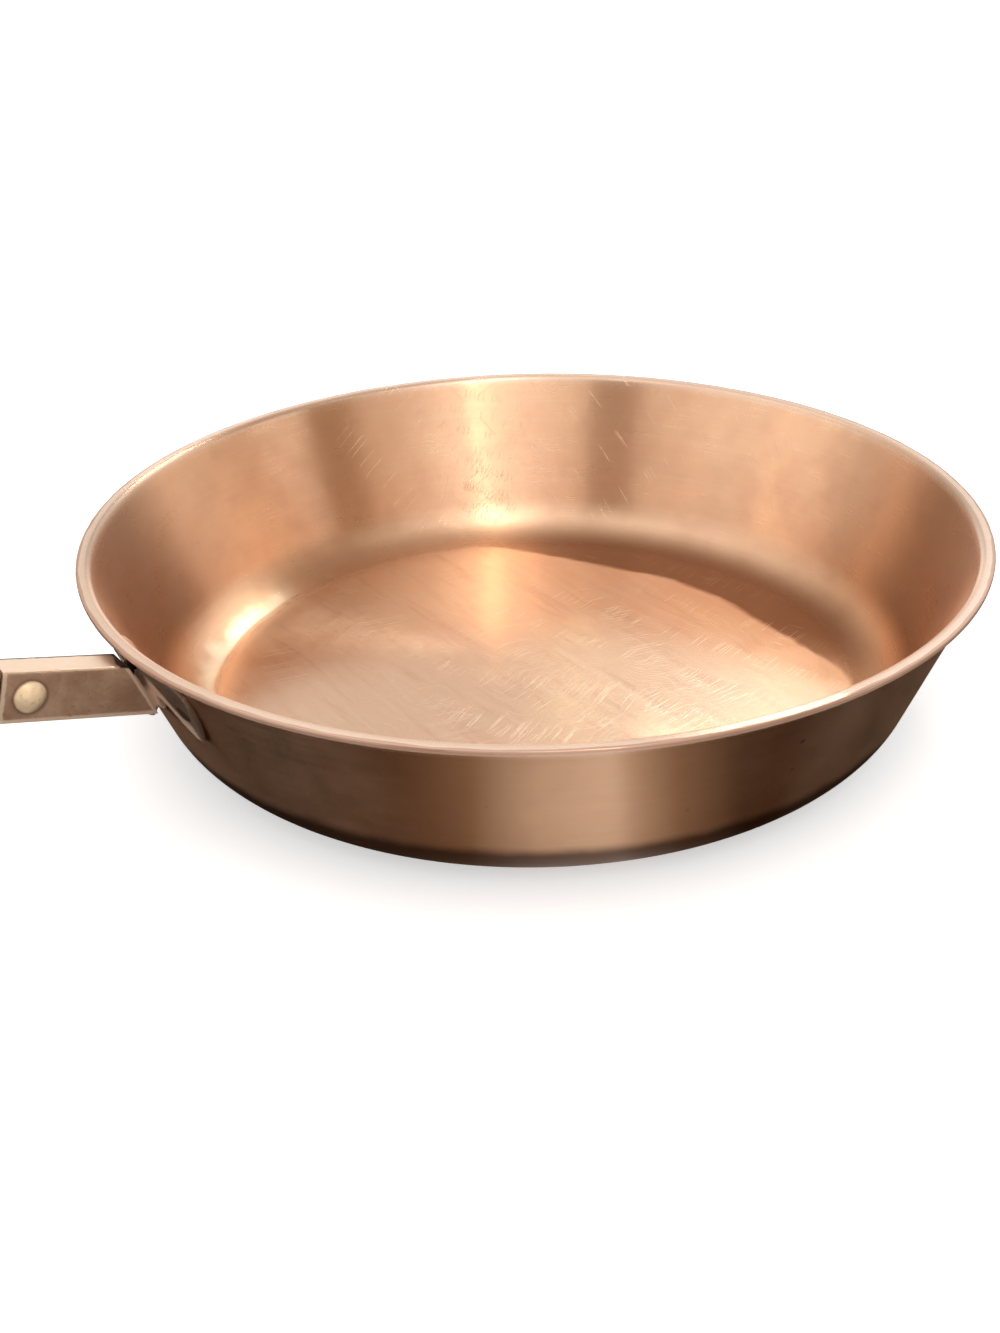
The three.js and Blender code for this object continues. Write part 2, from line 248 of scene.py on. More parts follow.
# Geometry Nodes helper: the tree is written as calls, and its inputs are kept by name
class Shaping(Nodes):
    def __init__(self, name):
        super().__init__(bpy.data.node_groups.new(name, "GeometryNodeTree"))
        self.given = self.tree.nodes.new("NodeGroupInput")
        self.keys = {}

    def inputs(self, **kinds):
        new = self.tree.interface.new_socket
        for name, kind in kinds.items():
            socket = new(name=name, in_out="INPUT", socket_type="NodeSocket" + kind)
            self.keys[name] = socket.identifier
        return [Value(self, self.given.outputs[name]) for name in kinds]

    def vectorMaths(self, operation, inputs):
        return self.node("ShaderNodeVectorMath", inputs, operation=operation)

    def noise(self, vector, scale, seed):
        given = {"Vector": vector, "W": seed, "Scale": scale, "Detail": 2.0}
        return self.node("ShaderNodeTexNoise", given, noise_dimensions="4D") - 0.5

    def attribute(self, name, kind="FLOAT"):
        return self.node("GeometryNodeInputNamedAttribute", {"Name": name}, data_type=kind)

    def finishTree(self, geometry, material):
        real = self.node("GeometryNodeRealizeInstances", {0: geometry})
        done = self.node("GeometryNodeSetMaterial", {"Geometry": real, "Material": material})
        self.tree.interface.new_socket(name="Geometry", in_out="OUTPUT", socket_type="NodeSocketGeometry")
        self.node("NodeGroupOutput", {0: done}, out=None)

    def shape(self, piece, **given):
        modifier = piece.modifiers.new(self.tree.name, "NODES")
        modifier.node_group = self.tree
        for name, value in given.items():
            modifier[self.keys[name]] = value
        return settle(piece)


# Turns a profile in the XZ plane about Z and gives the metal a hand-worked unevenness
def turningTree():
    shaping = Shaping("turning")
    profile, turnSteps, wallDent, dentScale, lipWear, wearScale, flatBelow, seed, metal = shaping.inputs(
        profile="Geometry", turnSteps="Int", wallDent="Float", dentScale="Float", lipWear="Float",
        wearScale="Float", flatBelow="Float", seed="Float", metal="Material")
    axisGap, weld = 0.001, 1e-5            # radius of the sweep's own circle, and what is joined on the axis
    line = shaping.node("GeometryNodeMeshToCurve", {"Mesh": profile})
    x, y, z = shaping.parts(shaping.node("GeometryNodeInputPosition"))
    laid = shaping.vector(x - axisGap, z * -1.0, 0.0)
    line = shaping.node("GeometryNodeSetPosition", {"Geometry": line, "Position": laid})
    circle = shaping.node("GeometryNodeCurvePrimitiveCircle", {"Resolution": turnSteps, "Radius": axisGap})
    body = shaping.node("GeometryNodeCurveToMesh", {"Curve": circle, "Profile Curve": line})
    body = shaping.node("GeometryNodeMergeByDistance", {"Geometry": body, "Distance": weld})
    place = shaping.node("GeometryNodeInputPosition")
    x, y, z = shaping.parts(place)
    outward = shaping.vectorMaths("NORMALIZE", {0: shaping.vector(x, y, 0.0)})
    lifted = shaping.smooth(z, flatBelow, flatBelow * 5.0)
    dent = shaping.noise(place, dentScale, seed) * wallDent
    wear = shaping.noise(place, wearScale, seed) * lipWear * shaping.attribute("lip")
    moved = shaping.vectorMaths("SCALE", {0: outward, "Scale": (dent + wear) * lifted})
    moved = shaping.vectorMaths("ADD", {0: moved, 1: shaping.vector(0.0, 0.0, wear)})
    body = shaping.node("GeometryNodeSetPosition", {"Geometry": body, "Offset": moved})
    shaping.finishTree(body, metal)
    return shaping


turning = turningTree()
print("turning tree made")


# Pan
panSizes = {
    "baseRadius": 0.094,
    "cornerRadius": 0.019,
    "sheet": 0.0016,
    "lipOverhang": 0.0028,
    "lipBend": 0.0018,
    "lipEdge": 0.00055,
    "lipStart": 0.0001,
    "cornerSteps": 18,
    "bendSteps": 6,
    "edgeSteps": 3,
    "ringStep": 0.0035,
    "turnSteps": 400,
    "wallDent": 0.0003,
    "dentScale": 20.0,
    "lipWear": 0.00022,
    "wearScale": 260.0,
    "flatBelow": 0.004,
    "seed": 3.0,
}
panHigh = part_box("pan_body")[1]
rimRadius, panDepth = panHigh.x, panHigh.z
lipUnder = panDepth - panSizes["sheet"]
cornerCentre = Vector((panSizes["baseRadius"], panSizes["cornerRadius"]))
wallTop = Vector((rimRadius - panSizes["lipOverhang"], lipUnder))


# Angle of the wall's outward normal above the horizon, where the wall is tangent to the corner
def wallAngle():
    run = wallTop - cornerCentre
    return math.atan2(run.y, run.x) - math.acos(panSizes["cornerRadius"] / run.length)


wallTilt = wallAngle()


def wallRadius(height, offset=0.0):
    return wallTop.x + (height - wallTop.y) * math.tan(-wallTilt) + offset / math.cos(wallTilt)


def arc(centre, radius, start, end, steps):
    turns = [start + (end - start) * step / steps for step in range(steps + 1)]
    return [Vector((centre[0] + radius * math.cos(turn), centre[1] + radius * math.sin(turn)))
            for turn in turns]


# Closed half section of the pan, from the axis under the base, over the lip and back along the inside
def panSection():
    s, quarter = panSizes, math.pi / 2
    edge, bend, sheet, corner = s["lipEdge"], s["lipBend"], s["sheet"], s["cornerRadius"]
    bendHeight = panDepth - bend
    bendCentre = (wallRadius(bendHeight, bend - sheet), bendHeight)
    edgeX = rimRadius - edge
    # Each stretch has its points, 1 if it is inside, and how far it is part of the lip
    corners = [
        ([Vector((0, 0))], 0, 0),
        (arc(cornerCentre, corner, -quarter, wallTilt, s["cornerSteps"]), 0, 0),
        ([wallTop + Vector((s["lipStart"], 0))], 0, 0.4),
        (arc((edgeX, lipUnder + edge), edge, -quarter, 0, s["edgeSteps"]), 0, 1),
        (arc((edgeX, panDepth - edge), edge, 0, quarter, s["edgeSteps"]), 1, 1),
        (arc(bendCentre, bend, quarter, math.pi + wallTilt, s["bendSteps"]), 1, 0.2),
        (arc(cornerCentre, corner - sheet, wallTilt, -quarter, s["cornerSteps"]), 1, 0),
        ([Vector((0, sheet))], 1, 0),
    ]
    points, inside, lip = [], [], []
    for stretch, side, worn in corners:
        start = points[-1] if points else stretch[0]
        stations = max(1, round((stretch[0] - start).length / s["ringStep"]))
        for station in range(1, stations):
            points.append(start.lerp(stretch[0], station / stations))
            inside.append(side)
            lip.append(0.0)
        points += stretch
        inside += [side] * len(stretch)
        lip += [worn] * len(stretch)
    along = [0.0]
    for before, after in zip(points, points[1:]):
        along.append(along[-1] + (after - before).length)
    return points, {"inside": inside, "lip": lip, "along": along}


def sectionMesh(name, points, values):
    edges = [(step, step + 1) for step in range(len(points) - 1)]
    return meshFrom(name, [(point[0], 0, point[1]) for point in points], [], edges, **values)


# Scrubbed places: right, behind and radius as the camera sees them, then the strokes' bearing, length and
# width, and the share of cells that hold one
panWear = {
    "scrubs": [
        (0.004, -0.028, 0.042, 64, 0.014, 0.0002, 0.3),
        (0.045, -0.024, 0.026, 40, 0.012, 0.00024, 0.35),
        (0.02, 0.005, 0.09, 52, 0.01, 0.00018, 0.12),
        (-0.02, 0.01, 0.1, 22, 0.018, 0.00016, 0.08),
        (0.0, 0.0, 0.12, -35, 0.007, 0.00014, 0.04),
    ],
    # The same on the wall: place round it from the middle of its back, and height
    "wallStrokes": [
        (-0.02, 0.014, 0.02, 62, 0.0035, 0.00018, 0.5),
        (-0.02, 0.03, 0.03, 75, 0.003, 0.00016, 0.15),
        (-0.03, 0.025, 0.05, 35, 0.012, 0.00014, 0.1),
        (0.03, 0.03, 0.1, -50, 0.008, 0.00014, 0.05),
    ],
    "middleRadius": 0.115,                 # turns a bearing on the wall into a length
    # Painted shade beside the crease: bearing of its middle, radius there and elsewhere
    "creaseShade": (48, 0.078, 0.095),
    "rubbingTurn": 0.6,
    "bumpDepth": 0.000012,
}
panTones = {
    "copper": (0.85, 0.52, 0.33),
    "cloud": (0.9, 0.57, 0.36),
    "patch": (0.76, 0.44, 0.29),
    "groove": (0.93, 0.66, 0.46),
    "floor": (0.94, 0.68, 0.52),
    # Painted light on the floor's far left as the camera sees it
    "farLeftLight": (0.98, 0.82, 0.68),
    "rubbedPale": (0.98, 0.76, 0.6),
    "rubbedDark": (0.74, 0.46, 0.34),
    "browned": (0.34, 0.18, 0.1),
    "burnt": (0.07, 0.033, 0.02),
    "spot": (0.1, 0.05, 0.035),
    # Painted shade in the crease
    "crease": (0.24, 0.11, 0.055),
    # Painted highlight on the inner bend, then painted shade on the wall's sides
    "paintedSheen": (0.99, 0.91, 0.73),
    "sideShade": (0.33, 0.225, 0.155),
    "scratch": (0.99, 0.84, 0.68),
    "lip": (0.92, 0.7, 0.56),
    "lipEdge": (0.6, 0.37, 0.27),
    # Painted shade where the near lip turns down
    "nearLipShade": (0.4, 0.22, 0.14),
}


# The pan's copper, laid on in stages. A place on it is known by its radius, height and side, and by how far
# it is to the right and behind as the camera sees it
class PanFinish(Finish):
    def __init__(self):
        super().__init__("panCopper")
        self.place = self.object()
        self.x, self.y, self.z = self.parts(self.place)
        self.radius = (self.x * self.x + self.y * self.y + 1e-9) ** 0.5
        self.inside, self.lip, self.along = [self.attribute(name) for name in ("inside", "lip", "along")]
        cosine, sine = math.cos(cameraSizes["viewTurn"]), math.sin(cameraSizes["viewTurn"])
        self.right, self.behind = self.x * cosine + self.y * sine, self.y * cosine - self.x * sine
        self.onFloor = self.smooth(self.radius, 0.099, 0.09) * self.inside
        self.onLip = self.smooth(self.lip, 0.1, 0.3)
        self.clouds, self.patches = self.noise(self.place, 26.0), self.noise(self.place, 95.0, 2.0)
        self.coarse = self.brushing(700.0, 4.0, 3.0)
        rubbed = self.placed(self.place, (0, 0, panWear["rubbingTurn"] - cameraSizes["viewTurn"]), (9, 1, 1))
        self.rubbing = self.noise(rubbed, 26.0, 4.0, 0.65, 0.8)
        self.scrubbed = self.scoured(self.right, self.behind, panWear["scrubs"], 7.3) * self.onFloor
        bearing = self.node("ShaderNodeMath", {0: self.right, 1: self.behind}, operation="ARCTAN2")
        self.stray = self.scoured(bearing * panWear["middleRadius"], self.z, panWear["wallStrokes"], 5.1)
        self.stray = self.stray * self.inside * self.smooth(self.z, 0.004, 0.008)
        self.colour = panTones["copper"]

    # Brushing follows the turning: fine across the grooves and long round the pan
    def brushing(self, fineness, length, detail):
        ring = self.x / self.radius * length, self.y / self.radius * length
        return self.noise(self.vector(self.along * fineness, *ring), 1.0, detail)

    def lay(self, tone, amount):
        self.colour = self.mix(amount, self.colour, panTones[tone])

    def layMetal(self):
        self.lay("cloud", self.smooth(self.clouds, 0.35, 0.65))
        self.lay("patch", self.smooth(self.patches, 0.45, 0.75) * 0.3)
        self.lay("groove", self.smooth(self.coarse, 0.4, 0.8) * 0.2)

    # Rubbing in all directions leaves the floor streaky
    def layFloor(self):
        self.lay("floor", self.onFloor * 0.7)
        # Painted light: the floor's far left, as the camera sees it, is laid paler
        farLeftLight = self.smooth(self.behind, 0.015, 0.055) * self.smooth(self.right, 0.0, -0.03)
        self.lay("farLeftLight", farLeftLight * self.onFloor * 0.6)
        self.lay("rubbedPale", self.smooth(self.rubbing, 0.5, 0.75) * self.onFloor * 0.4)
        self.lay("rubbedDark", self.smooth(self.rubbing, 0.5, 0.25) * self.onFloor * 0.4)

    # Outside, the flame has browned the wall, most of all round the bottom bend
    def layOutside(self):
        outside = (1 - self.inside) * (1 - self.lip)
        self.browned = outside * (self.smooth(self.z + self.clouds * 0.012, 0.034, 0.006) * 0.25 + 0.52)
        self.lay("browned", self.browned)
        self.lay("burnt", outside * self.smooth(self.z + self.patches * 0.002, 0.0165, 0.0115) * 0.9)
        spots = self.smooth(self.noise(self.place, 160.0, 1.0), 0.74, 0.8) * (1 - self.inside)
        self.lay("spot", spots * 0.7)

    # Painted shade: a dark line in the crease where the floor meets the wall, widest towards the back right
    # as the camera sees it
    def layCrease(self):
        bearing, wide, narrow = panWear["creaseShade"]
        bearing = math.radians(bearing)
        towards = (self.right * math.cos(bearing) + self.behind * math.sin(bearing)) / self.radius
        reached = self.smooth(towards, 0.55, 0.95, narrow, wide)
        reached = reached + (self.patches - 0.5) * 0.003 + (self.coarse - 0.5) * 0.002
        crease = self.smooth(self.radius - reached, -0.001, 0.002) * self.smooth(self.z, 0.0075, 0.0008)
        self.lay("crease", crease * self.inside * (0.2 + self.smooth(towards, 0.4, 0.9) * 0.75))

    # Painted highlight along the inner bend on the left as the camera sees it, next to the handle, and
    # painted shade on the wall's left and right sides
    def layInside(self):
        uneven = self.patches - 0.5
        paintedSheen = self.smooth(self.radius + uneven * 0.002, 0.0966, 0.0978) * self.inside
        paintedSheen = paintedSheen * self.smooth(self.radius + uneven * 0.008, 0.1045, 0.0985)
        self.lay("paintedSheen", paintedSheen * self.smooth(self.right / self.radius, -0.78, -0.9) * 0.8)
        sideShade = self.smooth((self.right * self.right) ** 0.5 / self.radius, 0.93, 1.0) * self.inside
        self.lay("sideShade", sideShade * self.smooth(self.z, 0.006, 0.016) * 0.8)
        self.lay("scratch", self.scrubbed * 0.6 + self.stray * 0.5)

    # Pale lip with a darker edge, and painted shade where its near side, as the camera sees it, turns down
    # into the pan
    def layLip(self):
        atEdge = self.smooth(self.lip + (self.patches - 0.5) * 0.4, 0.78, 0.92)
        self.colour = self.mix(self.onLip * 0.9, self.colour,
                               self.mix(atEdge, panTones["lip"], panTones["lipEdge"]))
        upwards = self.parts(self.node("ShaderNodeNewGeometry", out="Normal"))[2]
        near = self.smooth(self.behind, 0.02, -0.02) * self.inside
        self.lay("nearLipShade", self.smooth(upwards, 0.85, 0.65) * self.onLip * near * 0.5)

    def bumps(self):
        fine, ticks = self.brushing(2600.0, 7.0, 2.0), self.brushing(1100.0, 55.0, 1.0)
        waves, dents = self.noise(self.place, 42.0, 1.0), self.noise(self.place, 130.0, 2.0)
        grooves = (fine * 0.3 + self.coarse * 0.7 + ticks * 0.3) * (1 - self.onFloor * 0.75)
        onFloor = (waves * 4 + self.rubbing * 1.5) * self.onFloor
        scoured = self.scrubbed * 0.5 + self.stray * 2
        return grooves + self.patches * 0.4 + scoured + onFloor + dents * (1 - self.onFloor) * 3, fine

    # The floor is rubbed in all directions over its turning
    def finished(self):
        height, fine = self.bumps()
        rough = 0.3 + (fine - 0.5) * 0.1 + (self.patches - 0.5) * 0.1 + self.browned * 0.04 - self.lip * 0.1
        rough, depth = rough - self.onFloor * 0.04, panWear["bumpDepth"]
        turned = self.metal(self.colour, rough - self.onFloor * 0.05, height, depth,
                            Metallic=1 - self.lip * 0.55, Anisotropic=1.0, Anisotropic_Rotation=0.25)
        rubbed = self.metal(self.colour, rough - 0.05 + self.scrubbed * 0.14, height, depth)
        worn = 0.3 + self.smooth(self.clouds, 0.35, 0.65) * 0.2 + self.smooth(self.behind, 0.05, -0.02) * 0.45
        worn = (worn + self.smooth(self.radius, 0.045, 0.02) * 0.4) * self.onFloor
        return self.show(self.node("ShaderNodeMixShader", {0: worn, 1: turned, 2: rubbed}))


def panCopper():
    finish = PanFinish()
    finish.layMetal()
    finish.layFloor()
    finish.layOutside()
    finish.layCrease()
    finish.layInside()
    finish.layLip()
    return finish.finished()


def addPan():
    points, values = panSection()
    pan = newPiece("panBody", sectionMesh("panBody", points, values))
    turning.shape(pan, metal=panCopper().material, **{
        key: panSizes[key] for key in
        ("turnSteps", "wallDent", "dentScale", "lipWear", "wearScale", "flatBelow", "seed")})
    handIn(pan, "pan_copper", "pan_body")


addPan()


# Handle line: its own frame has -X outward, and its origin under the rim at the sleeve's top
handleSizes = {
    "rise": math.radians(15.5),
    "drop": 0.0022,
    "sleeveWidth": 0.0096,
    "sleeveHeight": 0.0135,
    "sleeveSheet": 0.0009,
    "sleeveReach": 0.0316,
    "channelGap": 0.0003,
    "rivetInset": 0.0074,
    "rivetHead": 0.0043,
}
sleeveHalf, sleeveHeight = handleSizes["sleeveWidth"] / 2, handleSizes["sleeveHeight"]
sleeveReach, sleeveSheet = handleSizes["sleeveReach"], handleSizes["sleeveSheet"]
handleMatrix = Matrix.Translation((-rimRadius, 0, lipUnder - handleSizes["drop"])) @ Matrix.Rotation(
    handleSizes["rise"], 4, "Y")
rivetPlace = Vector((handleSizes["rivetInset"] - sleeveReach, 0, -sleeveHeight / 2))


# Place along the handle, at a depth below its top, of a line that stands off the wall
def wallInHandle(below, offset):
    ends = [handleMatrix.inverted() @ Vector((-wallRadius(height, offset), 0, height))
            for height in (0, panDepth)]
    slope = (ends[1].x - ends[0].x) / (ends[1].z - ends[0].z)
    return ends[0].x + (below - ends[0].z) * slope


# Open section of a folded channel in (Y, Z): up one side, round the shoulders and down the other
def channelSection(half, top, bottom, shoulder, sideSteps, bendSteps):
    rise = [Vector((-half, bottom + (top - shoulder - bottom) * step / sideSteps))
            for step in range(sideSteps)]
    left = arc((-half + shoulder, top - shoulder), shoulder, math.pi, math.pi / 2, bendSteps)
    run = [Vector((-half + shoulder + 2 * (half - shoulder) * step / bendSteps, top))
           for step in range(1, bendSteps)]
    right = [Vector((-point.x, point.y)) for point in reversed(rise + left)]
    return rise + left + run + right


def smoothStep(value, low, high):
    part = min(1.0, max(0.0, (value - low) / (high - low)))
    return part * part * (3 - 2 * part)


def gridFaces(rows, columns):
    return [(row * columns + column, row * columns + column + 1,
             (row + 1) * columns + column + 1, (row + 1) * columns + column)
            for row in range(rows - 1) for column in range(columns - 1)]


# The handle's copper and brass as light, middle and dark, then the painted highlights, a dark tone for grease
# and painted shade, and the painted shade on the sleeve's top
handleTones = {
    "sleeve": [(0.52, 0.33, 0.22), (0.34, 0.185, 0.11), (0.19, 0.1, 0.06)],
    "bracket": [(0.6, 0.4, 0.28), (0.46, 0.28, 0.19), (0.24, 0.13, 0.08)],
    "grip": [(0.8, 0.58, 0.34), (0.62, 0.42, 0.23), (0.46, 0.3, 0.16)],
    "sleeveSheen": (0.86, 0.65, 0.49),
    "bracketSheen": (0.86, 0.62, 0.46),
    "greaseAndShade": (0.1, 0.055, 0.035),
    "topShade": (0.05, 0.03, 0.02),
}


# Metal of the handle, by its place in the handle's own frame
class HandleFinish(Finish):
    def __init__(self, name, light, mid, dark):
        super().__init__(name)
        back = -(Matrix.Rotation(-handleSizes["rise"], 3, "Y") @ handleMatrix.translation)
        place = self.placed(self.object(), (0, -handleSizes["rise"], 0), move=back)
        self.clouds, self.patches = self.noise(place, 110.0), self.noise(place, 420.0, 4.0, 0.65)
        self.lines = self.noise(self.placed(place, stretch=(0.035, 1, 1)), 1500.0)
        self.lengthwise, self.crosswise, self.upright = self.parts(place)
        self.nicks = self.strokes(self.lengthwise, self.crosswise + self.upright, 0.4, 0.003, 0.00012, 0.3)
        self.colour, self.litTop = self.mix(self.smooth(self.clouds, 0.3, 0.7), mid, light), 0.0
        self.lay(dark, self.smooth(self.patches, 0.5, 0.8) * 0.7)
        self.lay(light, self.nicks * 0.4)

    def lay(self, tone, amount):
        self.colour = self.mix(amount, self.colour, tone)

    def uneven(self, reach):
        return (self.patches - 0.5) * reach

    # Painted highlight along edges that catch the light
    # Each edge is a line (a, b, c) in the side plane: a * lengthwise + b * upright + c is the way inside it
    def paintEdgeLight(self, edges, paintedSheen):
        for a, b, c in edges:
            inside = self.lengthwise * a + self.upright * b + c + self.uneven(0.0007)
            self.lay(paintedSheen, self.smooth(inside, 0.0013, 0.0007) * 0.75)

    # Painted light on the sleeve's top: paler and more metallic where it faces up, with painted shade along
    # its far side, as the camera sees it, and at its front end
    def paintTopLight(self, paintedSheen):
        self.litTop = self.smooth(self.upright + self.uneven(0.0005), -0.0006, -0.0002)
        self.lay(paintedSheen, self.litTop)
        topShade = self.smooth(self.crosswise + self.uneven(0.0008), 0.0031, 0.0037)
        front = self.smooth(self.lengthwise + (self.clouds - 0.5) * 0.006, -0.0014, -0.0006)
        self.lay(handleTones["topShade"], (topShade + front * (1 - topShade)) * self.litTop * 0.9)

    def darkenRound(self, spot, inner, outer):
        away = ((self.lengthwise - spot.x) ** 2 + (self.upright - spot.z) ** 2) ** 0.5
        self.lay(handleTones["greaseAndShade"], self.smooth(away + self.uneven(0.0006), outer, inner) * 0.5)

    # Painted light on the wings: a highlight along the fold and a paler strip near their lower edge, with
    # painted shade under the lip and towards their outer ends
    def wingTones(self, fold, paintedSheen):
        offFold = ((self.crosswise * self.crosswise) ** 0.5 - fold) ** 2
        offFold = offFold + self.smooth(self.lengthwise, -0.002, -0.004) * 0.001
        self.lay(paintedSheen, self.smooth(offFold, 0.0000005, 0.00000005))
        above = self.attribute("aboveEdge") + self.uneven(0.002)
        self.lay(paintedSheen, self.smooth(above, 0.0006, 0.0016) * self.smooth(above, 0.007, 0.005) * 0.75)
        greaseAndShade = self.smooth(above, 0.0065, 0.0085)
        greaseAndShade = greaseAndShade + self.smooth(self.crosswise * self.crosswise, 0.00036, 0.00046) * (1 - greaseAndShade)
        self.lay(handleTones["greaseAndShade"], greaseAndShade * 0.8)

    def finished(self, roughness, metallic):
        # The painted light on the top also makes it smoother and more metallic
        rough = roughness + self.uneven(0.25) + (self.lines - 0.5) * 0.1 - self.litTop * 0.08
        height = self.lines * 0.6 + self.patches + self.nicks * 0.5
        return self.show(self.metal(self.colour, rough, height, 0.00002,
                                    Metallic=metallic + self.litTop * (0.95 - metallic)))


# Sleeve
sleeveSizes = {
    "frontGap": 0.0029,                    # from the wall, so that the bracket's fold shows
    "shoulder": 0.0008,
    "sideSteps": 12,
    "bendSteps": 6,
    "lengthSteps": 40,
    "bevel": 0.0002,
    "grimeReach": 0.001,                   # round the rivet's head
}


# Ends and lower edge of the sleeve, where a highlight is painted
def sleeveEdges():
    depth, frontGap = 0.01, sleeveSizes["frontGap"]
    atTop, lower = wallInHandle(0.0, frontGap), wallInHandle(-depth, frontGap)
    return [(1, 0, sleeveReach), (0, 1, sleeveHeight), (-1, (atTop - lower) / depth, atTop)]


def sleeveCopper():
    finish, paintedSheen = HandleFinish("sleeveCopper", *handleTones["sleeve"]), handleTones["sleeveSheen"]
    finish.paintEdgeLight(sleeveEdges(), paintedSheen)
    finish.paintTopLight(paintedSheen)
    head = handleSizes["rivetHead"]
    finish.darkenRound(rivetPlace, head, head + sleeveSizes["grimeReach"])
    return finish.finished(0.42, 0.55)


def addSleeve():
    sizes, steps = sleeveSizes, sleeveSizes["lengthSteps"]
    section = channelSection(sleeveHalf, 0, -sleeveHeight, sizes["shoulder"], sizes["sideSteps"],
                             sizes["bendSteps"])
    points = []
    for step in range(steps + 1):
        for across, below in section:
            front = wallInHandle(below, sizes["frontGap"])
            place = (front + sleeveReach) * step / steps - sleeveReach
            points.append(handleMatrix @ Vector((place, across, below)))
    mesh = meshFrom("handleSleeve", points, gridFaces(steps + 1, len(section)))
    sleeve = newPiece("handleSleeve", mesh, sleeveCopper())
    addModifier(sleeve, "SOLIDIFY", thickness=sleeveSheet, offset=1, use_even_offset=True)
    addModifier(sleeve, "BEVEL", width=sizes["bevel"], segments=2, limit_method="ANGLE",
                angle_limit=math.radians(50))
    addModifier(sleeve, "SUBSURF", levels=1, render_levels=1)
    settle(sleeve)
    handIn(sleeve, "sleeve_copper", "handle_sleeve")


addSleeve()


# Bracket: a channel inside the sleeve whose sides fold out into two wings on the wall
bracketSizes = {
    "sheet": 0.0014,
    "shoulder": 0.0019,
    "bottomStep": 0.0003,
    "rearStep": 0.002,
    "foldRadius": 0.0017,
    "frontDrop": 0.0022,                   # deeper sides where they leave the sleeve
    "dropReach": 0.005,
    "seat": 0.00005,
    "wingTop": 0.0493,
    "wingReach": 0.0245,
    "wingCorner": 0.0045,
    "rootHeight": 0.0337,
    "rootPlace": 0.0053,
    "archPlace": 0.0088,
    "archHeight": 0.0391,
    "tipPlace": 0.019,
    "tipHeight": 0.0295,
    # How far the underside's curves lean at the root, the lobe's tip and the lobe's outer side
    "rootLean": 0.0006,
    "tipLean": 0.003,
    "sideLean": 0.008,
    # Dip of the wing's top beside the sleeve, which starts inside the sleeve's side
    "dip": 0.003,
    "dipStart": 0.0019,
    "dipReach": 0.004,
    # Place of the painted highlight along the wings' fold
    "foldHighlight": 0.0047,                  # from the handle's middle
    "sideSteps": 8,
    "bendSteps": 3,
    "lengthSteps": 16,
    "foldSteps": 5,
    "wingSteps": 30,
    "cornerSteps": 8,
    "curveSteps": 24,
}


def bezier(points, part):
    while len(points) > 1:
        points = [a.lerp(b, part) for a, b in zip(points, points[1:])]
    return points[0]


# Lower edge of a wing as points in (Y, Z): root, arch, lobe's tip and outer side
def wingUnderside():
    s = bracketSizes
    corner = Vector((s["wingReach"], s["wingTop"] - s["wingCorner"]))
    root = Vector((s["rootPlace"], s["rootHeight"]))
    arch, tip = Vector((s["archPlace"], s["archHeight"])), Vector((s["tipPlace"], s["tipHeight"]))
    lean = Vector((s["tipLean"], 0))
    curves = [
        [root, Vector((root.x + s["rootLean"], arch.y)), arch],
        [arch, arch + lean * 1.2, tip - lean, tip],
        [tip, tip + lean, Vector((corner.x, tip.y + s["sideLean"])), corner],
    ]
    steps = s["curveSteps"]
    return [bezier(curve, step / steps) for curve in curves for step in range(steps + 1)]


def heightAt(outline, across):
    for before, after in zip(outline, outline[1:]):
        if before.x <= across <= after.x and after.x > before.x:
            return before.y + (after.y - before.y) * (across - before.x) / (after.x - before.x)
    return outline[-1].y if across > outline[-1].x else outline[0].y


def wingHigh(across):
    s = bracketSizes
    start, end = sleeveHalf - s["dipStart"], s["wingReach"] - s["wingCorner"]
    if across < end:
        return s["wingTop"] - s["dip"] * (1 - smoothStep(across, start, start + s["dipReach"]))
    part = min(1.0, (across - end) / s["wingCorner"])
    return s["wingTop"] - s["wingCorner"] * (1 - math.sqrt(1 - part * part))


def onWall(across, height, offset):
    radius = wallRadius(height, offset)
    return Vector((-math.sqrt(radius * radius - across * across), across, height))


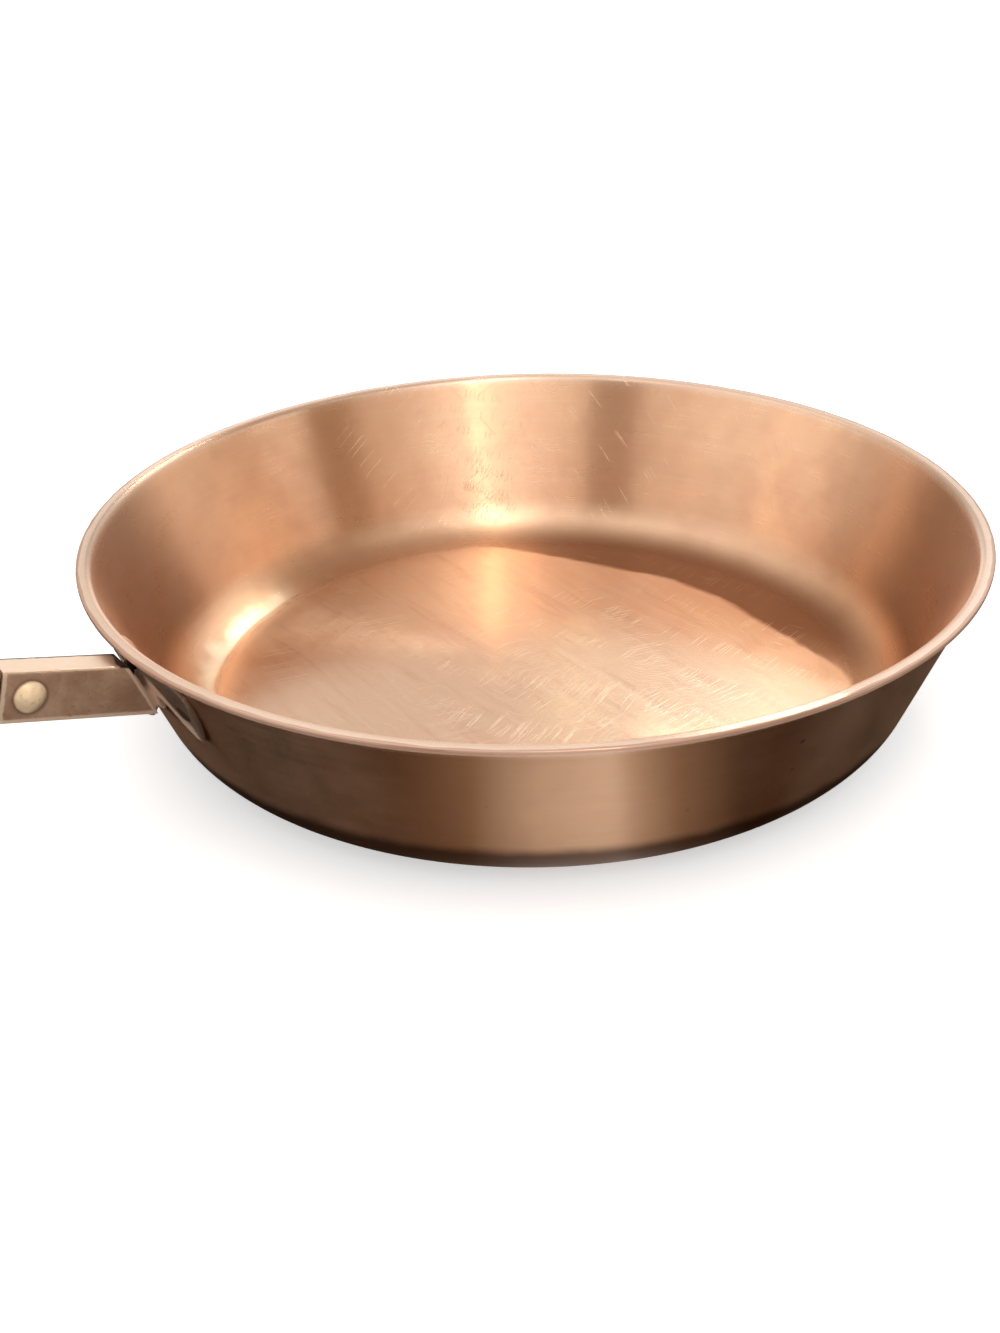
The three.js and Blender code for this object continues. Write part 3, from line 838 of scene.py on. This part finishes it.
def bracketMesh():
    s = bracketSizes
    middle = s["seat"] + s["sheet"] / 2
    top = -sleeveSheet - handleSizes["channelGap"] - s["sheet"] / 2
    half = sleeveHalf + top
    bottom = -sleeveHeight + s["bottomStep"]
    section = channelSection(half, top, bottom, s["shoulder"] - s["sheet"] / 2, s["sideSteps"],
                             s["bendSteps"])
    rear = -sleeveReach + s["rearStep"]
    points, columns, lengthSteps = [], len(section), s["lengthSteps"]
    hinge = top - s["shoulder"]
    for step in range(lengthSteps + 1):
        for across, below in section:
            front = wallInHandle(below, middle + s["foldRadius"])
            place = rear + (front - rear) * step / lengthSteps
            deeper = s["frontDrop"] * smoothStep(place, front - s["dropReach"], front) / (hinge - bottom)
            below -= max(0.0, hinge - below) * deeper
            points.append(handleMatrix @ Vector((place, across, below)))
    faces = gridFaces(lengthSteps + 1, columns)
    above = [0.0] * len(points)
    outline = wingUnderside()
    end, bend, quarter = s["wingReach"] - s["wingCorner"], s["foldRadius"], math.pi / 2
    folds = [quarter * step / s["foldSteps"] for step in range(1, s["foldSteps"] + 1)]
    stations = [(half + bend * (1 - math.cos(turn)), middle + bend * (1 - math.sin(turn))) for turn in folds]
    first = stations[-1][0]
    stations += [(first + (end - first) * step / s["wingSteps"], middle)
                 for step in range(1, s["wingSteps"] + 1)]
    stations += [(end + s["wingCorner"] * math.sin(quarter * step / s["cornerSteps"]), middle)
                 for step in range(1, s["cornerSteps"])]
    rows = s["sideSteps"] + 1
    for side in (-1, 1):
        # The last ring of the channel gives the fold's first column, from the bottom up
        ring = lengthSteps * columns
        last = [ring + row if side < 0 else ring + columns - 1 - row for row in range(rows)]
        for across, offset in stations:
            low, high = heightAt(outline, across), wingHigh(across)
            column = []
            for row in range(rows):
                column.append(len(points))
                above.append((high - low) * row / (rows - 1))
                points.append(onWall(side * across, low + above[-1], offset))
            for row in range(rows - 1):
                face = (last[row], last[row + 1], column[row + 1], column[row])
                faces.append(face if side < 0 else face[::-1])
            last = column
    return meshFrom("handleBracket", points, faces, aboveEdge=above)


def addBracket():
    finish = HandleFinish("bracketCopper", *handleTones["bracket"])
    finish.wingTones(bracketSizes["foldHighlight"], handleTones["bracketSheen"])
    bracket = newPiece("handleBracket", bracketMesh(), finish.finished(0.42, 0.5))
    addModifier(bracket, "SOLIDIFY", thickness=bracketSizes["sheet"], offset=0, use_even_offset=True)
    addModifier(bracket, "SUBSURF", levels=2, render_levels=2)
    settle(bracket)
    handIn(bracket, "bracket_copper", "handle_bracket")


addBracket()


# Grip: a cast bar that leaves the sleeve at its section, flattens and widens, and ends round with an eye
gripSizes = {
    "length": 0.205,
    "width": 0.021,
    "depth": 0.009,
    "corner": 0.0038,
    "neckCorner": 0.0012,
    "neckLength": 0.016,
    "flareLength": 0.062,
    "eyeRadius": 0.00525,
    "eyeMargin": 0.0055,
    "eyeChamfer": 0.0009,
    "cutterReach": 0.004,
    "tongueStart": 0.005,
    "tongueOverlap": 0.008,
    "lengthSteps": 80,
    "endSteps": 24,
    "cornerSteps": 7,
    "eyeSteps": 48,
    "voxel": 0.00055,
    "smoothing": 6,
}


def gripRing(along, width, depth, corner):
    ring = []
    for quarter, (sideY, sideZ) in enumerate([(1, -1), (1, 1), (-1, 1), (-1, -1)]):
        centre = (sideY * (width / 2 - corner), -depth / 2 + sideZ * (depth / 2 - corner))
        turn = quarter * math.pi / 2
        for point in arc(centre, corner, turn - math.pi / 2, turn, gripSizes["cornerSteps"]):
            ring.append(handleMatrix @ Vector((-along, point.x, point.y)))
    return ring


def gripMesh():
    s = gripSizes
    shoulder = sleeveReach + handleSizes["channelGap"]
    endCentre = s["length"] - s["width"] / 2
    lengthSteps, endSteps, count = s["lengthSteps"], s["endSteps"], 4 * (s["cornerSteps"] + 1)
    stations = [shoulder + (endCentre - shoulder) * step / lengthSteps for step in range(lengthSteps + 1)]
    stations += [endCentre + s["width"] / 2 * math.sin(math.pi / 2 * step / endSteps)
                 for step in range(1, endSteps)]
    points, faces = [], []
    for along in stations:
        flare = smoothStep(along, shoulder + s["neckLength"], shoulder + s["neckLength"] + s["flareLength"])
        width = 2 * sleeveHalf + (s["width"] - 2 * sleeveHalf) * flare
        if along > endCentre:
            width = 2 * math.sqrt((s["width"] / 2) ** 2 - (along - endCentre) ** 2)
        depth = sleeveHeight + (s["depth"] - sleeveHeight) * flare
        corner = min(s["neckCorner"] + (s["corner"] - s["neckCorner"]) * flare, width / 2.05)
        points += gripRing(along, width, depth, corner)
    for ring in range(len(stations) - 1):
        for side in range(count):
            a, b = ring * count + side, ring * count + (side + 1) % count
            faces.append((a, b, b + count, a + count))
    last = (len(stations) - 1) * count
    faces += [tuple(reversed(range(count))), tuple(range(last, last + count))]
    return points, faces


def boxMesh(low, high):
    corners = [handleMatrix @ Vector((x, y, z)) for x in (low[0], high[0]) for y in (low[1], high[1])
               for z in (low[2], high[2])]
    return corners, [(0, 1, 3, 2), (4, 6, 7, 5), (0, 4, 5, 1), (2, 3, 7, 6), (0, 2, 6, 4), (1, 5, 7, 3)]


# Cutter for the eye, wider at the top and the bottom so that its edges come out eased
def eyeCutter():
    s, count = gripSizes, gripSizes["eyeSteps"]
    centre = -s["length"] + s["eyeMargin"] + s["eyeRadius"]
    reach, chamfer = s["cutterReach"], s["eyeChamfer"]
    wide = s["eyeRadius"] + reach + chamfer
    levels = [(reach, wide), (-chamfer, s["eyeRadius"]), (-s["depth"] + chamfer, s["eyeRadius"]),
              (-s["depth"] - reach, wide)]
    points = []
    for below, radius in levels:
        for step in range(count):
            turn = 2 * math.pi * step / count
            ring = (centre + radius * math.cos(turn), radius * math.sin(turn), below)
            points.append(handleMatrix @ Vector(ring))
    faces = [tuple(range(count)), tuple(reversed(range(3 * count, 4 * count)))]
    for level in range(3):
        for step in range(count):
            a, b = level * count + step, level * count + (step + 1) % count
            faces.append((a, a + count, b + count, b))
    return points, faces


def closedPiece(name, points, faces):
    piece = newPiece(name, meshFrom(name, points, faces))
    return settle(piece)


def addGrip():
    s = gripSizes
    bar = closedPiece("handleGrip", *gripMesh())
    eye = closedPiece("eyeCutter", *eyeCutter())
    addModifier(bar, "BOOLEAN", operation="DIFFERENCE", solver="EXACT", object=eye)
    top = -sleeveSheet - 2 * handleSizes["channelGap"] - bracketSizes["sheet"]
    half = sleeveHalf + top
    low = (-sleeveReach - s["tongueOverlap"], -half, -sleeveHeight + bracketSizes["bottomStep"])
    tongue = closedPiece("gripTongue", *boxMesh(low, (-s["tongueStart"], half, top)))
    addModifier(bar, "BOOLEAN", operation="UNION", solver="EXACT", object=tongue)
    addModifier(bar, "REMESH", mode="VOXEL", voxel_size=s["voxel"], adaptivity=0)
    addModifier(bar, "SMOOTH", factor=0.5, iterations=s["smoothing"])
    settle(bar)
    for helper in (eye, tongue):
        bpy.data.objects.remove(helper)
    bar.data.materials.clear()
    bar.data.materials.append(HandleFinish("gripBrass", *handleTones["grip"]).finished(0.32, 0.85).material)
    handIn(bar, "grip_brass", "handle_grip")


addGrip()


# Rivets
rivetSizes = {
    "shank": 0.0025,
    "gripCrown": 0.0024,
    "wallHead": 0.00525,
    "wallCrown": 0.0021,
    "tailCrown": 0.0001,
    "wallSpacing": 0.0385,
    "wallStep": 0.0098,
    "turnSteps": 48,
    "domeSteps": 9,
    "hammerHeight": 0.00035,
    "hammerScale": 420.0,
    "seed": 5.0,
}


# Sets turned rivets on points, each along its own direction, with hammer marks on every head
def rivetingTree():
    shaping = Shaping("riveting")
    places, rivet, hammerHeight, hammerScale, seed, metal = shaping.inputs(
        places="Geometry", rivet="Object", hammerHeight="Float", hammerScale="Float", seed="Float",
        metal="Material")
    one = shaping.node("GeometryNodeObjectInfo", {"Object": rivet}, out="Geometry")
    turn = shaping.node("FunctionNodeAlignRotationToVector",
                        {"Vector": shaping.attribute("outward", "FLOAT_VECTOR")}, axis="Z")
    points = shaping.node("GeometryNodeMeshToPoints", {"Mesh": places})
    body = shaping.node("GeometryNodeInstanceOnPoints", {"Points": points, "Instance": one, "Rotation": turn})
    body = shaping.node("GeometryNodeRealizeInstances", {0: body})
    place = shaping.node("GeometryNodeInputPosition")
    dent = shaping.noise(place, hammerScale, seed) * hammerHeight
    moved = shaping.vectorMaths("SCALE", {0: shaping.node("GeometryNodeInputNormal"), "Scale": dent})
    body = shaping.node("GeometryNodeSetPosition", {"Geometry": body, "Offset": moved})
    shaping.finishTree(body, metal)
    return shaping


# Half section of a domed head that ends on the axis, seated at a height along the rivet
def domeSection(head, crown, seat, side):
    ball = (head * head + crown * crown) / (2 * crown)
    edge, steps = math.asin(min(1.0, head / ball)), rivetSizes["domeSteps"]
    points = []
    for step in range(steps + 1):
        turn = edge * (steps - step) / steps
        points.append(Vector((ball * math.sin(turn), side * (seat + crown - ball + ball * math.cos(turn)))))
    return points


# A turned rivet that lies along Z, made from its two heads and its shank
def turnedRivet(name, low, high):
    shank = rivetSizes["shank"]
    section = domeSection(*low, -1)[::-1] + [Vector((shank, -low[2])), Vector((shank, high[2]))] \
        + domeSection(*high, 1)
    section = [point for place, point in enumerate(section)
               if place == 0 or (point - section[place - 1]).length > 1e-6]
    values = {"lip": [0.0] * len(section)}
    rivet = newPiece(name, sectionMesh(name, section, values))
    return turning.shape(rivet, turnSteps=rivetSizes["turnSteps"], wallDent=0.0, dentScale=1.0, lipWear=0.0,
                         wearScale=1.0, flatBelow=1.0, seed=0.0)


def rivetPlaces(name, spots):
    mesh = meshFrom(name, [point for point, outward in spots], [])
    values = [part for point, outward in spots for part in outward]
    mesh.attributes.new("outward", "FLOAT_VECTOR", "POINT").data.foreach_set("vector", values)
    return mesh


rivetTones = {
    "brass": [(0.93, 0.7, 0.45), (0.84, 0.6, 0.37), (0.55, 0.36, 0.2)],
    "copper": [(0.88, 0.58, 0.42), (0.78, 0.48, 0.33), (0.5, 0.28, 0.18)],
    # Painted shade on the brass head's lower front side
    "headShade": (0.2, 0.11, 0.055),
}


# Painted shade: the copper rivets' outer ends are as dark as the wings' painted shade, and the brass head is
# darker on its lower front side
def rivetMetal(name, tones, metallic):
    light, mid, dark = rivetTones[tones]
    finish = Finish(name)
    place = finish.object()
    x, y, z = finish.parts(place)
    clouds, patches = finish.noise(place, 260.0), finish.noise(place, 900.0, 4.0, 0.6)
    colour = finish.mix(finish.smooth(clouds, 0.3, 0.7), mid, light)
    colour = finish.mix(finish.smooth(patches, 0.5, 0.75) * 0.6, colour, dark)
    if tones == "copper":
        outside = (x * x + y * y) ** 0.5 - (z - wallTop.y) * math.tan(-wallTilt) - wallTop.x
        colour = finish.mix(finish.smooth(outside, 0.0005, 0.001) * 0.8, colour, handleTones["greaseAndShade"])
    else:
        below = (x - gripSpot.x) * 0.6 - (z - gripSpot.z) * 0.8 + (patches - 0.5) * 0.001
        colour = finish.mix(finish.smooth(below, 0.0008, 0.0038) * 0.8, colour, rivetTones["headShade"])
    rough = 0.48 + (patches - 0.5) * 0.2
    return finish.show(finish.metal(colour, rough, patches + clouds, 0.00003, Metallic=metallic))


def addRivets(name, helper, spots, metal, slot, *nodes):
    rivets = newPiece(name, rivetPlaces(name, spots))
    riveting.shape(rivets, rivet=helper, metal=metal.material,
                   **{key: rivetSizes[key] for key in ("hammerHeight", "hammerScale", "seed")})
    bpy.data.objects.remove(helper)
    handIn(rivets, slot, *nodes)


def wallRivetSpot(side):
    s = rivetSizes
    height = bracketSizes["wingTop"] - s["wallStep"]
    radius = wallRadius(height)
    turn = math.pi - side * math.asin(s["wallSpacing"] / 2 / radius)
    flat = math.cos(wallTilt)
    outward = Vector((math.cos(turn) * flat, math.sin(turn) * flat, math.sin(wallTilt)))
    return Vector((radius * math.cos(turn), radius * math.sin(turn), height)), outward


riveting = rivetingTree()
gripEnd = (handleSizes["rivetHead"], rivetSizes["gripCrown"], sleeveHalf)
gripSpot = handleMatrix @ rivetPlace
addRivets("gripRivet", turnedRivet("oneGripRivet", gripEnd, gripEnd), [(gripSpot, Vector((0, 1, 0)))],
          rivetMetal("rivetBrass", "brass", 0.45), "rivet_brass", "grip_rivet")
wallHead = (rivetSizes["wallHead"], rivetSizes["wallCrown"], panSizes["sheet"])
wallTail = (rivetSizes["shank"], rivetSizes["tailCrown"], bracketSizes["sheet"] + bracketSizes["seat"])
wallSpots = [wallRivetSpot(side) for side in (1, -1)]
addRivets("wallRivets", turnedRivet("oneWallRivet", wallHead, wallTail), wallSpots,
          rivetMetal("rivetCopper", "copper", 0.9), "rivet_copper", "wall_rivet_left", "wall_rivet_right")


# Studio: pale floor and world, soft lamps, and a tent that only the metal's gloss sees
studioSizes = {
    "floorHalf": 6.0,
    "floorLevel": -0.0002,
    "floorColour": (0.9, 0.9, 0.9),
    "floorGlow": 0.5,
    "worldLight": 0.8,
    "tentRadius": 4.0,
    "tentMost": 3.0,                       # light at which the ramps' colours reach 1
    "tentTurns": 180,
    "tentRises": 30,
    "tentLevel": 0.001,
    "matLevel": 0.0004,
    "matRings": 4,
    # Light of the tent's low, middle and high parts by degrees round, from the right as the camera sees it
    "tentLow": [(0, 0.9), (12, 0.9), (30, 0.75), (60, 0.7), (84, 0.8), (92, 1.35), (104, 1.35),
                (112, 0.7), (125, 0.45), (148, 0.75), (163, 1.0), (178, 1.6), (212, 1.6), (226, 1.5),
                (236, 1.1), (240, 0.1),
                (250, 0.1), (255, 0.8), (262, 0.95), (270, 1.05), (283, 1.3), (302, 1.05), (314, 0.85),
                (320, 0.85), (326, 0.26), (336, 0.26), (342, 1.7), (352, 1.6), (360, 0.9)],
    "tentMiddle": [(0, 0.4), (20, 0.6), (34, 1.2), (74, 1.15), (84, 0.88), (89, 0.74), (94, 0.7), (103, 0.8),
                   (112, 0.65), (128, 0.6), (165, 0.65), (185, 0.8), (210, 0.85), (228, 0.6), (237, 0.28),
                   (249, 0.26), (252, 0.75), (267, 1.0), (275, 1.2), (298, 1.05), (312, 0.7), (328, 0.35),
                   (345, 0.35), (360, 0.4)],
    "tentHigh": [(0, 0.6), (35, 0.3), (60, 0.45), (100, 0.9), (134, 1.2), (180, 1.2), (225, 1.1), (246, 1.1),
                 (262, 1.4), (272, 2.2), (298, 2.6), (312, 1.6), (328, 1.05), (345, 0.85), (360, 0.6)],
    "middleRise": (16.0, 26.0),
    "highRise": (37.0, 52.0),
    # The floor beside the pan as the gloss sees it: light by degrees round, and the ring's width
    "mat": [(0, 0.01), (40, 0.03), (70, 0.7), (110, 0.7), (140, 0.05), (228, 0.01), (248, 0.09), (260, 0.3),
            (270, 0.85), (281, 1.1), (285, 0.65), (291, 0.3), (301, 0.06), (330, 0.01), (360, 0.01)],
    "matInner": 0.0965,
    "matOuter": 0.55,
    # Lamps: place as the camera sees it, width and height, power, colour, and roll in degrees
    "lampAim": (0, 0, 0.03),
    "lamps": {
        "overheadLamp": ((0.0, 0.2, 2.0), (2.6, 2.6), 18.0, (1.0, 1.0, 1.0), 0),
        "streakLamp": ((0.197, -0.539, 0.9), (0.016, 0.75), 0.75, (1.0, 0.93, 0.7), 0),
        "glintLamp": ((0.038, 1.04, 0.588), (0.025, 0.05), 0.01, (1.0, 0.93, 0.55), 0),
        "windowLamp": ((0.73, 2.41, 2.2), (1.0, 0.25), 7.0, (1.0, 0.95, 0.78), -40),
    },
}


# The soft lamp above is a round one that the metal's gloss doesn't show
def addLamp(name, place, size, power, colour, roll):
    data = bpy.data.lights.new(name, "AREA")
    data.shape = "DISK" if size[0] == size[1] else "RECTANGLE"
    data.size, data.size_y, data.energy, data.color = *size, power, colour
    lamp = bpy.data.objects.new(name, data)
    lamp.location = asSeen(*place)
    lamp.rotation_mode = "QUATERNION"
    facing = (Vector(studioSizes["lampAim"]) - lamp.location).to_track_quat("-Z", "Y")
    lamp.rotation_quaternion = facing @ Quaternion((0, 0, 1), math.radians(roll))
    lamp.visible_glossy = data.shape == "RECTANGLE"
    scene.collection.objects.link(lamp)


# 1 for the rays that see the studio as the camera does
def shownRays(finish):
    seen = finish.node("ShaderNodeLightPath")
    return seen + seen.beside("Is Glossy Ray") + seen.beside("Is Transmission Ray")


def addFloor():
    half, level = studioSizes["floorHalf"], studioSizes["floorLevel"]
    points = [(-half, -half, level), (half, -half, level), (half, half, level), (-half, half, level)]
    finish = Finish("paleFloor")
    paint = finish.node("ShaderNodeBsdfDiffuse", {"Color": (*studioSizes["floorColour"], 1)})
    glow = finish.node("ShaderNodeEmission", {
        "Color": (1, 1, 1, 1), "Strength": shownRays(finish) * studioSizes["floorGlow"]})
    finish.show(finish.node("ShaderNodeAddShader", {0: paint, 1: glow}))
    newPiece("studioFloor", meshFrom("studioFloor", points, [(0, 1, 2, 3)]), finish)


def addWorld():
    world = bpy.data.worlds.new("studioWorld")
    scene.world = world
    world.use_nodes = True
    finish = Finish("studioWorld", world.node_tree)
    strength = finish.smooth(shownRays(finish), 0.0, 1.0, studioSizes["worldLight"], 1.0)
    light = finish.node("ShaderNodeBackground", {"Color": (1, 1, 1, 1), "Strength": strength})
    finish.node("ShaderNodeOutputWorld", {"Surface": light}, out=None)


# A sheet round the pan, from bearing to bearing and from rise to rise, that only glossy rays meet
def glossSheet(name, columns, rows, place, finish):
    points, bearings, rises = [], [], []
    for column in range(columns + 1):
        for row in range(rows + 1):
            bearing, rise = column / columns, row / rows
            points.append(asSeen(*place(2 * math.pi * bearing, rise)))
            bearings.append(bearing)
            rises.append(rise)
    mesh = meshFrom(name, points, gridFaces(columns + 1, rows + 1), bearing=bearings, rise=rises)
    sheet = newPiece(name, mesh, finish)
    for rays in ("camera", "diffuse", "transmission", "volume_scatter", "shadow"):
        setattr(sheet, "visible_" + rays, False)


# Darker light is browner, as from a room with wood and copper in it
def lightBand(finish, stops):
    most = studioSizes["tentMost"]
    colours = [(bearing / 360, (light / most, light ** (1.3 if light < 1 else 1) / most,
                                light ** (1.6 if light < 1 else 1) / most)) for bearing, light in stops]
    return finish.node("ShaderNodeValToRGB", {0: finish.attribute("bearing")}, stops=colours)


def addTent():
    s = studioSizes
    finish = Finish("tentCloth")
    light = lightBand(finish, s["tentLow"])
    for band, (start, end) in (("tentMiddle", s["middleRise"]), ("tentHigh", s["highRise"])):
        above = finish.smooth(finish.attribute("rise"), start / 90, end / 90)
        light = finish.mix(above, light, lightBand(finish, s[band]))
    finish.show(finish.node("ShaderNodeEmission", {"Color": light, "Strength": s["tentMost"]}))

    def onTent(turn, rise):
        lift = rise * math.pi / 2
        flat = s["tentRadius"] * math.cos(lift)
        return flat * math.cos(turn), flat * math.sin(turn), s["tentRadius"] * math.sin(lift) + s["tentLevel"]

    glossSheet("studioTent", s["tentTurns"], s["tentRises"], onTent, finish)
    finish = Finish("matCloth")
    finish.show(finish.node("ShaderNodeEmission", {
        "Color": lightBand(finish, s["mat"]), "Strength": s["tentMost"]}))

    def onMat(turn, rise):
        radius = s["matInner"] + (s["matOuter"] - s["matInner"]) * rise
        return radius * math.cos(turn), radius * math.sin(turn), s["matLevel"]

    glossSheet("studioMat", s["tentTurns"], s["matRings"], onMat, finish)


addFloor()
addWorld()
addTent()
for lampName, lampSizes in studioSizes["lamps"].items():
    addLamp(lampName, *lampSizes)
print("studio lit")
